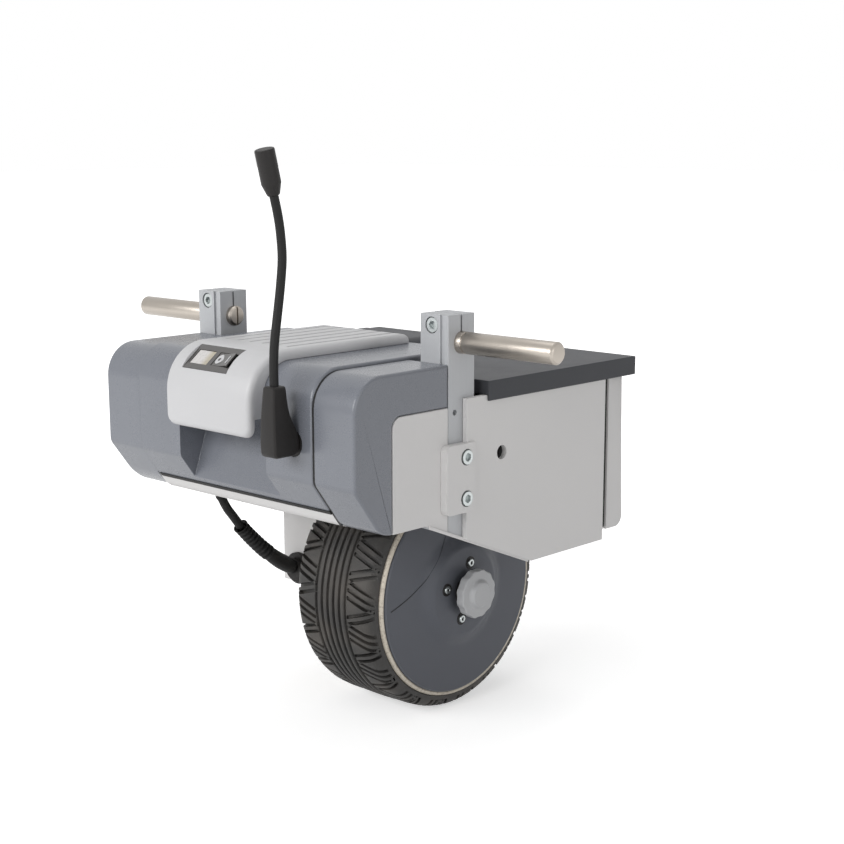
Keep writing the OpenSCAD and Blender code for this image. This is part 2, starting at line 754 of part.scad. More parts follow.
module hub_screw_places() {
    lean = -13;
    for (i = [0:3]) rotate([i * 90 + lean, 0, 0]) translate([0, 0, hub_pcd_r]) children();
}
module hub_screws() placed("gainsboro") at_axle() hub_screw_places() {
    rod_x(boss_x, boss_x + hub_screw_d * 0.6, hub_screw_d);
    rod_x(end_plate_x + end_plate_t - hub_screw_in, boss_x + 1, hub_screw_d / 2);
}
module hub_knob() placed("darkgray") at_axle() {
    lobes = 12;
    scallop_r = knob_r * 0.7;
    rod_x(rim_half, boss_x + 1, knob_pivot_r);
    rod_x(boss_x + knob_lift, knob_x + 1, knob_stem_r);
    difference() {
        rod_x(knob_x, knob_x + knob_t, knob_r);
        for (i = [0:lobes - 1]) rotate([i * 360 / lobes, 0, 0]) translate([0, 0, knob_r * 1.66])
            rod_x(knob_x - 1, knob_x + knob_t + 1, scallop_r);
    }
    translate([knob_x + knob_t, 0, 0]) rotate([0, 90, 0])
        cylinder(h = knob_rise, r1 = knob_r * 0.6, r2 = knob_r * 0.5);
}

// Battery pack
module recess(grow) {
    start_y = bevel_slope * max(0, rear_low - recess_low);
    along_x(-recess_w / 2 - grow, recess_w / 2 + grow) polygon([[-grow - 1, recess_low - grow],
        [start_y + grow, recess_low - grow], [recess_depth + grow, lip_low - grow],
        [recess_depth + grow, recess_roof + grow], [-grow - 1, recess_roof + grow]]);
}
module battery_case() placed("slategray") {
    difference() {
        union() {
            difference() {
                along_x(-pack_half, pack_half) polygon(pack_outline(0, pack_l));
                along_x(shell - pack_half, pack_half - shell) polygon(pack_outline(shell, pack_l + 1));
            }
            intersection() {
                recess(shell);
                along_x(-pack_half, pack_half) polygon(pack_outline(0, pack_l));
            }
        }
        recess(0);
        translate([plug_x, 0, plug_z]) rod_y(-1, shell + 1, control_socket_r + seat_gap);
    }
}
module battery_front() placed("dimgray") {
    gap = shell + seat_gap;
    difference() {
        box([gap - pack_half, pack_l - shell, pack_base + gap], [pack_half - gap, pack_l, pack_top - gap]);
        contact_places() contact(seat_gap, pack_l - shell - 1, pack_l + 1);
    }
}
module battery_contacts() placed("goldenrod") contact_places() contact(0, block_back, pack_l + dock_l - 4);
module battery_blocks() placed("darkolivegreen") {
    length = min(block_l, block_back - recess_depth - 2 * shell);
    width = min(block_w, pack_half - shell - 2);
    for (side = [0, 1]) mirror([side, 0, 0])
        box([1, block_back - length, pack_base + shell], [1 + width, block_back, pack_base + shell + block_h]);
}
module control_panel() placed("gainsboro") {
    gap = seat_gap;
    lip_round = 4;
    centre = [panel_round - panel_proud, panel_top - panel_round];
    difference() {
        along_x(-panel_w / 2, panel_w / 2) polygon(concat(
            arc([lip_round - panel_proud, lip_low + lip_round], lip_round, 270, 180, 5),
            arc(centre, panel_round, 180, 90, 16),
            [[panel_end, panel_top], [panel_end, pack_top + gap]],
            arc([top_round, pack_top - top_round], top_round + gap, 90, 180),
            [[-gap, recess_roof + 2], [lip_t - panel_proud, recess_roof], [lip_t - panel_proud, lip_low]]));
        for (i = [0:rib_count - 1]) translate([(i - (rib_count - 1) / 2) * rib_pitch, 0, 0])
            box([-rib_w / 2, panel_round, panel_top - rib_depth], [rib_w / 2, panel_end + 1, panel_top + 1]);
        at_window() box([-window_w / 2 - seat_gap, -window_h / 2 - seat_gap, -board_drop],
            [window_w / 2 + seat_gap, window_h / 2 + seat_gap, panel_round]);
    }
}
module display_window() placed("black") at_window() difference() {
    union() {
        box([-window_w / 2, -window_h / 2, 0], [window_w / 2, window_h / 2, window_t]);
        for (side = [0, 1]) mirror([side, 0, 0])
            box([window_w / 2 - frame_t, -window_h / 2, board_t - board_drop], [window_w / 2, window_h / 2, 1]);
        for (side = [0, 1]) mirror([0, side, 0]) translate([rocker_x, rocker_h / 2 + slide_gap, 0])
            box([-rocker_keel, 0, board_t - board_drop], [rocker_keel, rocker_ear, 1]);
    }
    box([lens_x - lens_w / 2 - seat_gap, -lens_h / 2 - seat_gap, -1],
        [lens_x + lens_w / 2 + seat_gap, lens_h / 2 + seat_gap, window_t + 1]);
    box([rocker_x - rocker_w / 2 - rocker_gap, -rocker_h / 2 - slide_gap, -1],
        [rocker_x + rocker_w / 2 + rocker_gap, rocker_h / 2 + slide_gap, window_t + 1]);
    translate([rocker_x, 0, rocker_pivot]) rod_y(-window_h, window_h, rocker_pin_r + run_gap);
}
module indicator_lens() placed("ivory") at_window() translate([lens_x, 0, 0])
    box([-lens_w / 2, -lens_h / 2, board_t - board_drop], [lens_w / 2, lens_h / 2, window_t - lens_drop]);
module indicator_board() placed("darkgreen") at_window()
    box([-window_w / 2, -window_h / 2, -board_drop], [window_w / 2, window_h / 2, board_t - board_drop]);
module at_rocker() {
    at_window() translate([rocker_x, 0, rocker_pivot]) rotate([0, -rocker_tilt, 0]) children();
}
// The rocker turns on two pins in the window's ears, and its face rests tilted to the left
module power_rocker() placed("dimgray") at_rocker() {
    half = rocker_h / 2;
    tip = rocker_w / 2;
    low = rocker_edge - rocker_side;
    rod_y(-half - slide_gap - rocker_ear, half + slide_gap + rocker_ear, rocker_pin_r);
    rod_y(-half, half, rocker_keel);
    along_y(-half, half) polygon([[-rocker_pin_r, 0], [rocker_pin_r, 0], [tip, low], [tip, rocker_edge],
        [0, rocker_edge - rocker_dip], [-tip, rocker_edge], [-tip, low]]);
}

// Control lead
module control_socket() placed("black") translate([plug_x, 0, plug_z]) difference() {
    rod_y(0, control_socket_l, control_socket_r);
    rod_y(-1, plug_pin_l + 1, plug_pin_r + seat_gap);
}
module control_plug() placed("black") {
    top = cable_points[0].z;
    low = plug_z - plug_drop;
    neck = plug_z + plug_neck;
    along_x(plug_x - plug_w / 2, plug_x + plug_w / 2) polygon([[plug_back + plug_corner, low],
        [plug_foot - plug_drop, low], [-seat_gap, plug_z - plug_foot], [-seat_gap, plug_z + plug_foot],
        [plug_neck_y + 1, neck], [plug_neck_y, top], [plug_back + 2, top], [plug_back, neck],
        [plug_back, low + plug_corner]]);
    translate([plug_x, 0, plug_z]) rod_y(-1, plug_pin_l, plug_pin_r);
}
module control_cable() placed("black") tube_along(cable_points, [for (p = cable_points) cable_d / 2]);
module cable_connector() placed("black") {
    t = heading(cable_points, cable_end);
    translate(cable_points[cable_end]) rotate([atan2(-t.y, t.z), 0, 0]) {
        cylinder(h = connector_neck, r1 = cable_d / 2 + 1, r2 = connector_r);
        translate([0, 0, connector_neck]) cylinder(h = connector_l - connector_neck, r = connector_r);
    }
}

// Mounting bars and pins
module mount_bar(left, outer) translate([left, 0, 0]) difference() {
    hole_depth = 4;
    box([0, bar_y, bar_low], [bar_w, bar_front, bar_top]);
    translate([0, bar_mid_y, pin_z]) rod_x(-1, bar_w + 1, pin_d / 2 + run_gap);
    box([-1, bar_mid_y - slit_w / 2, pin_z], [bar_w + 1, bar_mid_y + slit_w / 2, bar_top + 1]);
    box([groove_x, bar_y - 1, bar_low - 1], [groove_x + groove_w, bar_y + groove_d, bar_top + 1]);
    translate([pinch_x, 0, pinch_z]) {
        rod_y(bar_y - 1, bar_front + 1, screw_d / 2 + seat_gap);
        rod_y(bar_y - 1, bar_y + head_h + bore_gap, head_d / 2 + bore_gap);
    }
    translate([outer, bar_y + bar_hole_y, pin_z - bar_hole_z]) rod_x(-hole_depth, hole_depth, bar_hole_d / 2);
}
module pinch_screw(left) {
    translate([left + pinch_x, bar_y + head_h + bore_gap, pinch_z]) rotate([90, 0, 0])
        cap_screw(bar_d - 2 * head_h);
}
module mount_pin() {
    chamfer = 1.5;
    stop_x = bar_out + 6;
    stop_w = 1;
    stop_r = pin_d / 2 - 0.5;
    tail = bar_in - pin_tail;
    r = pin_d / 2;
    translate([0, bar_mid_y, pin_z]) turned([[0, tail], [r - chamfer, tail], [r, tail + chamfer],
        [r, stop_x - stop_w], [stop_r, stop_x - stop_w], [stop_r, stop_x], [r, stop_x],
        [r, pin_reach - chamfer], [r - chamfer, pin_reach], [0, pin_reach]]);
}
module left_mount_bar() placed("lightsteelblue") mount_bar(-bar_out, 0);
module right_mount_bar() placed("lightsteelblue") mount_bar(bar_in, bar_w);
module left_pinch_screw() placed("gainsboro") pinch_screw(-bar_out);
module right_pinch_screw() placed("gainsboro") pinch_screw(bar_in);
module left_pin() placed("tan") mirrored() mount_pin();
module right_pin() placed("tan") mount_pin();

base_tray();
left_end_cap();
right_end_cap();
left_side_casting();
right_side_casting();
left_side_plate();
right_side_plate();
wheel_deck();
wheel_arch();
front_cover();
electronics_lid();
motor_controller();
dock_connector();
wheel_leg();
leg_screws();
motor_socket();
clamp_screws();
lead_gland();
motor_lead();
lead_boot();
lead_plug();
axle();
axle_nut();
stator();
tyre();
wheel_rim();
magnet_ring();
motor_end_plate();
wheel_bearings();
hub_cover();
hub_screws();
hub_knob();
battery_case();
battery_front();
battery_blocks();
battery_contacts();
control_panel();
display_window();
indicator_lens();
indicator_board();
power_rocker();
control_socket();
control_plug();
control_cable();
cable_connector();
left_mount_bar();
left_pinch_screw();
left_pin();
right_mount_bar();
right_pinch_screw();
right_pin();
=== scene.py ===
"""A wheelchair power assist: battery pack, control panel and mounting bars over one motor wheel."""

import json
import math

import bpy
from mathutils import Matrix, Vector


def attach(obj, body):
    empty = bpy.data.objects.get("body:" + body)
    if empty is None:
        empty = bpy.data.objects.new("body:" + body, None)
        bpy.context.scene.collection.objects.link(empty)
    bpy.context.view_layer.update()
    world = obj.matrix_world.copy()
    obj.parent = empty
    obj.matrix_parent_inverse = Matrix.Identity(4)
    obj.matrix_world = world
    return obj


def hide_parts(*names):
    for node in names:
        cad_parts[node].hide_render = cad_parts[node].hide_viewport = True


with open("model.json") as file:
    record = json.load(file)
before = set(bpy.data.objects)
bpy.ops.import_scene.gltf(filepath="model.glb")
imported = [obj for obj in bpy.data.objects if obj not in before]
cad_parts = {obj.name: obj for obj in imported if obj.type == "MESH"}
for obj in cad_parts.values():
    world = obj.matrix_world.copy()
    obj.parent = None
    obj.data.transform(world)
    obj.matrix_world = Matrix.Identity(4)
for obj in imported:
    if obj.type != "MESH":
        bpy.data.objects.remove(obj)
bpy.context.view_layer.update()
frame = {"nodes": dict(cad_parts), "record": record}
record = frame["record"]

# Sizes and places in millimetres, with y counted from the body's flat rear face

MM = 0.001
REAR = -139.5
AXLE_Y = 196
AXLE_Z = 96
TYRE_R = 96
HUB_FACE = 51.1
SCREW_CIRCLE = 22
CAP_SIDE = 131
CAP_SEAM = 93
PACK_SIDE = 92
PACK_TOP = 293
BODY_TOP = 291
BODY_BASE = 184
BODY_ROUND = 24
SLOPE_TOP = 218
SLOPE_FRONT = 25
PLUG_X = 73
MOTOR_LEAD_X = -92
BOOT_TOP = (92, 142)
EAR_REAR = 80.6
FOOT_DROP = 9.8
PIN_Y = 101.6
COVER_FRONT = 292
PANEL_REAR = -13
PANEL_TOP = 300
PANEL_ROUND = 33
WINDOW_X = -7
RIGHT_FOOT = (23.5, 186)
LEFT_FOOT = (14.7, 198)

# Limits in metres for places that count as level and for corners that count as one

NEAR = 2e-5
SAME = 2e-6

# Axes by their place in a vector

X, Y, Z = range(3)


def at(x, y, z):
    """A point in metres from millimetres, with y counted from the body's flat rear face."""
    return Vector((x, y + REAR, z)) * MM


MM_ZERO = at(0, 0, 0)
HUB_CENTRE = at(0, AXLE_Y, AXLE_Z)


def new_object(name, data):
    """An object in the scene that holds this data."""
    thing = bpy.data.objects.new(name, data)
    bpy.context.scene.collection.objects.link(thing)
    return thing


# Camera


def photo_camera():
    """The photo's own camera: its place and axes in the frame, and its lens."""
    place = (0.84115, -0.82845, 0.4435)
    right, up, back = (0.7273, 0.6864, -0.0014), (-0.1363, 0.1465, 0.9798), (0.6727, -0.7123, 0.2001)
    lens = bpy.data.cameras.new("photo_camera")
    lens.sensor_width = 36
    lens.lens = 67.98
    lens.shift_x = -0.0007
    lens.shift_y = 0.0416
    lens.clip_start = 0.05
    camera = new_object("photo_camera", lens)
    turn = Matrix((right, up, back)).transposed().to_4x4()
    camera.matrix_world = Matrix.Translation(place) @ turn
    bpy.context.scene.camera = camera


# Tools for modelling by hand


def fresh():
    """Object mode with nothing selected, ready for a new primitive."""
    if bpy.context.mode != "OBJECT":
        bpy.ops.object.mode_set(mode="OBJECT")
    bpy.ops.object.select_all(action="DESELECT")


def alone(piece):
    """Object mode with this piece the only one selected."""
    fresh()
    piece.select_set(True)
    bpy.context.view_layer.objects.active = piece


def into_edit(piece, kind="VERT", everything=True):
    """Edit mode on this piece, with all of it selected or nothing."""
    alone(piece)
    bpy.ops.object.mode_set(mode="EDIT")
    bpy.ops.mesh.select_mode(type=kind)
    bpy.ops.mesh.select_all(action="SELECT" if everything else "DESELECT")


def out_of_edit():
    bpy.ops.object.mode_set(mode="OBJECT")


def choose_corners(piece, test):
    """Edit mode with the corners selected whose place passes the test."""
    into_edit(piece, everything=False)
    out_of_edit()
    for corner in piece.data.vertices:
        corner.select = bool(test(corner.co))
    bpy.ops.object.mode_set(mode="EDIT")


def choose_edges(piece, test):
    """Edit mode with edges selected by their two ends and the normals of the faces beside them."""
    into_edit(piece, "EDGE", everything=False)
    out_of_edit()
    mesh = piece.data
    beside = {}
    for face in mesh.polygons:
        for key in face.edge_keys:
            beside.setdefault(key, []).append(face.normal)
    for edge in mesh.edges:
        ends = [mesh.vertices[v].co for v in edge.vertices]
        edge.select = bool(test(*ends, beside.get(tuple(sorted(edge.vertices)), [])))
    bpy.ops.object.mode_set(mode="EDIT")


def shifted(piece, move):
    """Moves the whole mesh by a vector."""
    into_edit(piece)
    bpy.ops.transform.translate(value=move)
    out_of_edit()
    return piece


def swung(piece, angle, axis, centre):
    """Turns the whole mesh about a point."""
    into_edit(piece)
    bpy.ops.transform.rotate(value=angle, orient_axis=axis, center_override=centre)
    out_of_edit()
    return piece


def settled(piece):
    """Puts the object's place, turn and scale into its mesh."""
    alone(piece)
    bpy.ops.object.transform_apply(location=True, rotation=True, scale=True)
    return piece


def applied(piece, kind, **settings):
    """Adds a modifier with its settings and applies it."""
    alone(piece)
    bpy.ops.object.modifier_add(type=kind)
    change = piece.modifiers[-1]
    for name, value in settings.items():
        setattr(change, name, value)
    bpy.ops.object.modifier_apply(modifier=change.name)


def softened(piece, radius, segments, angle, **settings):
    """Rounds every edge that is sharper than an angle."""
    applied(piece, "BEVEL", width=radius * MM, segments=segments, limit_method="ANGLE",
            angle_limit=math.radians(angle), **settings)


def round_edges(piece, radius, segments, test):
    """Rounds the edges that pass a test."""
    choose_edges(piece, test)
    bpy.ops.mesh.bevel(offset=radius * MM, segments=segments, affect="EDGES")
    out_of_edit()


def tidy_mesh(piece):
    """Merges doubled corners and turns all faces outwards."""
    into_edit(piece)
    bpy.ops.mesh.remove_doubles(threshold=SAME)
    bpy.ops.mesh.normals_make_consistent(inside=False)
    out_of_edit()


def block(name, low, high):
    """A cube from one corner to the other."""
    fresh()
    low, high = at(*low), at(*high)
    bpy.ops.mesh.primitive_cube_add(size=1, location=(low + high) / 2)
    piece = bpy.context.object
    piece.name = name
    piece.scale = high - low
    return settled(piece)


def traced(name, points):
    """A line of edges, drawn by extruding one corner from point to point."""
    fresh()
    bpy.ops.mesh.primitive_plane_add(size=MM, location=points[0])
    piece = bpy.context.object
    piece.name = name
    into_edit(piece)
    bpy.ops.mesh.merge(type="CENTER")
    for here, there in zip(points, points[1:]):
        bpy.ops.mesh.extrude_region_move(TRANSFORM_OT_translate={"value": there - here})
    out_of_edit()
    return settled(piece)


def turned(name, outline, steps):
    """Spins an outline of (radius, x) pairs about the wheel's axis."""
    piece = traced(name, [at(x, AXLE_Y, AXLE_Z + r) for r, x in outline])
    into_edit(piece)
    bpy.ops.mesh.spin(steps=steps, angle=2 * math.pi, center=HUB_CENTRE, axis=(1, 0, 0))
    tidy_mesh(piece)
    return piece


def side_profile(name, outline, left, right):
    """A side view in (y, z), filled and pulled across from one x to another."""
    piece = traced(name, [at(left, y, z) for y, z in outline])
    into_edit(piece)
    bpy.ops.mesh.edge_face_add()
    bpy.ops.mesh.extrude_region_move(TRANSFORM_OT_translate={"value": ((right - left) * MM, 0, 0)})
    tidy_mesh(piece)
    return piece


def ribbon(name, low, high, outline, thick):
    """A side view line pulled across from one x to another and given a thickness."""
    piece = traced(name, [at(low, y, z) for y, z in outline])
    into_edit(piece)
    bpy.ops.mesh.extrude_region_move(TRANSFORM_OT_translate={"value": ((high - low) * MM, 0, 0)})
    out_of_edit()
    tidy_mesh(piece)
    applied(piece, "SOLIDIFY", thickness=thick * MM, offset=0)
    return piece


def cut_away(piece, cutter):
    """Cuts one piece by another, which is then removed."""
    applied(piece, "BOOLEAN", operation="DIFFERENCE", object=cutter, solver="MANIFOLD")
    bpy.data.objects.remove(cutter)


def joined(pieces):
    """Several pieces made one, under the first one's name."""
    fresh()
    for piece in pieces:
        piece.select_set(True)
    bpy.context.view_layer.objects.active = pieces[0]
    bpy.ops.object.join()
    return pieces[0]


def copy_of(piece, name):
    """A copy with its own mesh."""
    return new_object(name, piece.data.copy())


def arc(y, z, radius, start, end, steps):
    """Points in (y, z) along a round stretch, between two angles in degrees."""
    turns = [math.radians(start + (end - start) * i / steps) for i in range(steps + 1)]
    return [(y + radius * math.cos(a), z + radius * math.sin(a)) for a in turns]


# Tests that pick edges


def on_plane(axis, place):
    """Passes an edge whose two ends lie at one place along an axis."""
    return lambda a, b, normals: abs(a[axis] - place) < NEAR and abs(b[axis] - place) < NEAR


def along(axis, least=NEAR):
    """Passes an edge that covers more than a least length along an axis."""
    return lambda a, b, normals: abs(a[axis] - b[axis]) > least


def both(first, second):
    return lambda *edge: first(*edge) and second(*edge)


def either(first, second):
    return lambda *edge: first(*edge) or second(*edge)


def bordering(inside):
    """Passes an edge between a face whose normal passes and one whose normal doesn't."""
    return lambda a, b, normals: len(normals) == 2 and inside(normals[0]) != inside(normals[1])


def on_line(y, z):
    """Passes an edge that runs across the body at one y and z."""
    place = at(0, y, z)
    return both(on_plane(Y, place.y), on_plane(Z, place.z))


def on_side(x):
    """Passes the edges around a flat side."""
    return on_plane(X, x * MM)


around_end = bordering(lambda normal: abs(normal.x) > 0.9)
rear_corner = on_line(0, SLOPE_TOP)
low_corner = on_line(SLOPE_FRONT, BODY_BASE)
ear_corners = both(on_plane(Y, at(0, EAR_REAR, 0).y), along(X, 2 * MM))
upright = along(Z, 50 * MM)


# Finishes


def feed(tree, slot, value):
    """Links a value to a socket, or sets the socket to a plain number, colour or vector."""
    if isinstance(value, Value):
        tree.links.new(value.socket, slot)
    else:
        slot.default_value = value


class Value:
    """A shader socket that the arithmetic signs work on."""

    def __init__(self, tree, socket):
        self.tree = tree
        self.socket = socket

    def maths(self, operation, first, second):
        node = self.tree.nodes.new("ShaderNodeMath")
        node.operation = operation
        feed(self.tree, node.inputs[0], first)
        feed(self.tree, node.inputs[1], second)
        return Value(self.tree, node.outputs[0])

    def __add__(self, other):
        return self.maths("ADD", self, other)

    def __sub__(self, other):
        return self.maths("SUBTRACT", self, other)

    def __rsub__(self, other):
        return self.maths("SUBTRACT", other, self)

    def __mul__(self, other):
        return self.maths("MULTIPLY", self, other)

    __radd__ = __add__
    __rmul__ = __mul__


class Nodes:
    """A node tree that is built up node by node."""

    def __init__(self, tree):
        self.tree = tree

    def node(self, kind, settings=None, output=0, **inputs):
        """Adds a node, sets it up, feeds its sockets by name or as i0 and so on, and returns one output."""
        node = self.tree.nodes.new(kind)
        for name, value in (settings or {}).items():
            if name == "stops":
                for stop, (spot, grey) in zip(node.color_ramp.elements, value):
                    stop.position = spot
                    stop.color = (grey, grey, grey, 1)
            else:
                setattr(node, name, value)
        for name, value in inputs.items():
            socket = int(name[1:]) if name[1:].isdigit() else name.replace("_", " ")
            feed(self.tree, node.inputs[socket], value)
        return Value(self.tree, node.outputs[output])

    def seen(self):
        """One for what the camera or a reflection shows, zero for the rest of the light."""
        direct = self.node("ShaderNodeLightPath", output="Is Camera Ray")
        return direct + self.node("ShaderNodeLightPath", output="Is Glossy Ray")


class Finish(Nodes):
    """One material around a principled shader."""

    def __init__(self, name, **constants):
        self.material = bpy.data.materials.new(name)
        self.material.use_nodes = True
        super().__init__(self.material.node_tree)
        self.shader = self.tree.nodes["Principled BSDF"]
        self.place = self.node("ShaderNodeTexCoord", output="Object")
        for socket, value in constants.items():
            self.set(socket.replace("_", " "), value)

    def set(self, socket, value):
        feed(self.tree, self.shader.inputs[socket], value)

    def stretched(self, x, y, z):
        return self.node("ShaderNodeMapping", Vector=self.place, Scale=(x, y, z))

    def noise(self, scale, detail, place=None):
        return self.node("ShaderNodeTexNoise", Vector=place or self.place, Scale=scale, Detail=detail)

    def between(self, low, high, factor):
        return self.node("ShaderNodeMix", {"data_type": "RGBA"}, 2, i0=factor, i6=low, i7=high)

    def steps(self, value, *stops):
        return self.node("ShaderNodeValToRGB", {"stops": stops}, Fac=value)

    def bump(self, height, distance):
        self.set("Normal", self.node("ShaderNodeBump", Height=height, Distance=distance, Strength=1.0))


def tone(colour, factor):
    return (colour[0] * factor, colour[1] * factor, colour[2] * factor, 1)


def moulded(name, colour, rough, grain=0.00003, spread=0.05, **constants):
    """Satin plastic: a fine spark-eroded grain, faint clouding and handling marks."""
    finish = Finish(name, **constants)
    clouds = finish.noise(14, 4)
    finish.set("Base Color", finish.between(tone(colour, 1 - spread), tone(colour, 1 + spread), clouds))
    grains = finish.noise(1500, 2)
    rubs = finish.noise(60, 5)
    finish.set("Roughness", rough + 0.10 * (rubs - 0.5) + 0.08 * (grains - 0.5))
    finish.bump(grains, grain)
    return finish.material


def powder_coat(name, colour, rough):
    """Painted metal with a soft orange-peel surface and a little dust in the colour."""
    finish = Finish(name, Specular_IOR_Level=0.3)
    dust = finish.noise(9, 5)
    finish.set("Base Color", finish.between(tone(colour, 0.95), tone(colour, 1.04), dust))
    peel = finish.noise(420, 3)
    finish.set("Roughness", rough + 0.14 * (finish.noise(35, 4) - 0.5))
    finish.bump(peel, 0.00008)
    return finish.material


def worked_metal(name, colour, rough, metallic, lines, depth=0.00006, uneven=0.22, **constants):
    """Metal with tool lines; lines holds the stretch of the pattern along x, y and z."""
    finish = Finish(name, Metallic=metallic, **constants)
    scratches = finish.noise(1, 4, finish.stretched(*lines))
    clouds = finish.noise(22, 3)
    wear = 0.6 * scratches + 0.4 * clouds
    finish.set("Base Color", finish.between(tone(colour, 0.88), tone(colour, 1.08), wear))
    finish.set("Roughness", rough + uneven * (scratches - 0.5))
    finish.bump(scratches, depth)
    return finish.material


def tyre_rubber():
    """Charcoal rubber, paler and browner where the tread is scuffed and dusty."""
    finish = Finish("tyre_rubber")
    scuffs = finish.noise(30, 6)
    worn = finish.steps(scuffs, (0.42, 0), (0.68, 1))
    finish.set("Base Color", finish.between((0.026, 0.0245, 0.023, 1), (0.064, 0.057, 0.05, 1), worn))
    grains = finish.noise(1100, 3)
    finish.set("Roughness", 0.62 + 0.2 * (scuffs - 0.5))
    finish.bump(grains, 0.0002)
    return finish.material


def rim_finish():
    """Pale cast rim with a speckle of sand and rubber marks."""
    finish = Finish("rim_alloy", Metallic=0.15)
    specks = finish.noise(520, 3)
    dark = finish.steps(specks, (0.50, 0), (0.66, 1))
    finish.set("Base Color", finish.between((0.56, 0.51, 0.43, 1), (0.22, 0.18, 0.14, 1), dark * 0.5))
    finish.set("Roughness", 0.5 + 0.25 * (specks - 0.5))
    finish.bump(specks, 0.00025)
    return finish.material


def lit_lens():
    """Milky lens, white at its left with a warm amber field at its right."""
    left, width = -0.0225, 1 / 60
    finish = Finish("lens_plastic", Coat_Weight=0.4, Coat_Roughness=0.1)
    across = finish.node("ShaderNodeSeparateXYZ", Vector=finish.place)
    amber = finish.steps((across - left) * (1 / width), (0.30, 0), (0.62, 1))
    mottle = finish.noise(500, 3)
    warmth = amber * (0.6 + 0.5 * mottle)
    finish.set("Base Color", finish.between((0.6, 0.58, 0.57, 1), (0.40, 0.35, 0.24, 1), warmth))
    finish.set("Roughness", 0.28 + 0.1 * (mottle - 0.5))
    return finish.material


def wound_stator():
    """Laminated iron with copper windings showing in bands."""
    finish = Finish("stator_iron", Metallic=0.8)
    bands = finish.noise(1, 2, finish.stretched(900, 20, 20))
    finish.set("Base Color", finish.between((0.42, 0.19, 0.08, 1), (0.16, 0.13, 0.11, 1), bands))
    finish.set("Roughness", 0.42 + 0.2 * (bands - 0.5))
    finish.bump(bands, 0.0002)
    return finish.material


def circuit_board():
    """Green board with a pattern of paler tracks."""
    finish = Finish("board_green")
    cells = finish.node("ShaderNodeTexVoronoi", {"distance": "MANHATTAN"}, Vector=finish.place, Scale=420.0)
    tracks = finish.steps(cells, (0.3, 0), (0.34, 1))
    finish.set("Base Color", finish.between((0.015, 0.10, 0.04, 1), (0.03, 0.19, 0.08, 1), tracks))
    finish.set("Roughness", 0.4 + 0.2 * (cells - 0.5))
    return finish.material


finishes = {
    "body_plastic": moulded("body_plastic", (0.168, 0.178, 0.204), 0.28, Specular_IOR_Level=0.5),
    "lid_plastic": moulded("lid_plastic", (0.05, 0.052, 0.058), 0.5, Specular_IOR_Level=0.2),
    "panel_plastic": moulded("panel_plastic", (0.55, 0.55, 0.56), 0.4, spread=0.02),
    "cast_grey": powder_coat("cast_grey", (0.69, 0.68, 0.675), 0.5),
    "bar_aluminium": worked_metal("bar_aluminium", (0.47, 0.48, 0.495), 0.52, 0.2, (900, 900, 14),
                                  Specular_IOR_Level=0.3),
    "pin_steel": worked_metal("pin_steel", (0.39, 0.355, 0.315), 0.34, 1.0, (1400, 8, 8),
                              depth=0.00002, uneven=0.1),
    "axle_steel": worked_metal("axle_steel", (0.5, 0.5, 0.5), 0.32, 1.0, (1800, 30, 30)),
    "zinc_screw": worked_metal("zinc_screw", (0.47, 0.50, 0.50), 0.3, 0.9, (500, 500, 500)),
    "tyre_rubber": tyre_rubber(),
    "rim_alloy": rim_finish(),
    "hub_plastic": moulded("hub_plastic", (0.105, 0.111, 0.128), 0.4, Specular_IOR_Level=0.2),
    "knob_plastic": moulded("knob_plastic", (0.45, 0.455, 0.465), 0.44),
    "black_plastic": moulded("black_plastic", (0.02, 0.0185, 0.018), 0.48, Specular_IOR_Level=0.2),
    "black_rubber": moulded("black_rubber", (0.012, 0.012, 0.012), 0.55, grain=0.0002,
                            Specular_IOR_Level=0.2),
    "window_plastic": moulded("window_plastic", (0.055, 0.051, 0.049), 0.2, grain=0.00002,
                              Coat_Weight=0.4, Coat_Roughness=0.06),
    "lens_plastic": lit_lens(),
    "board_green": circuit_board(),
    "heat_sink": worked_metal("heat_sink", (0.32, 0.32, 0.33), 0.5, 0.9, (60, 900, 60)),
    "stator_iron": wound_stator(),
    "magnet_iron": worked_metal("magnet_iron", (0.2, 0.2, 0.21), 0.4, 0.9, (40, 700, 700)),
    "cell_wrap": moulded("cell_wrap", (0.05, 0.08, 0.035), 0.42, spread=0.12),
    "contact_brass": worked_metal("contact_brass", (0.62, 0.45, 0.17), 0.28, 1.0, (60, 1200, 60)),
}


# Pieces on their bodies


def painted(piece, slot):
    piece.data.materials.clear()
    piece.data.materials.append(finishes[slot])


def placed(piece, body, slot, *nodes, angle=32):
    """Smooths, paints and mounts a finished piece, and lets it stand for its solids."""
    if piece.type == "MESH":
        alone(piece)
        bpy.ops.object.shade_smooth_by_angle(angle=math.radians(angle))
    painted(piece, slot)
    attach(piece, body)
    if nodes:
        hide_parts(*nodes)
    return piece


slot_of = {part["node"]: part["material_slot"] for part in record["subparts"]}
body_of = {node: body for body, nodes in record["behaviour"]["bodies"].items() for node in nodes}
for node, solid in frame["nodes"].items():
    painted(solid, slot_of[node])


def solid_copy(node, name):
    """A copy of a solid's mesh, merged and with its flat faces whole."""
    piece = copy_of(frame["nodes"][node], name)
    into_edit(piece)
    bpy.ops.mesh.remove_doubles(threshold=SAME)
    bpy.ops.mesh.dissolve_limited(angle_limit=math.radians(0.4))
    out_of_edit()
    return piece


def slanted_foot(bar):
    """Draws the front edge of a bar's lower end down along the slope of the sides."""
    corners = [corner.co for corner in bar.data.vertices]
    low = min(place.z for place in corners) + NEAR
    front = max(place.y for place in corners) - NEAR
    choose_corners(bar, lambda place: place.z < low and place.y > front)
    bpy.ops.transform.translate(value=(0, 0, -FOOT_DROP * MM))
    out_of_edit()


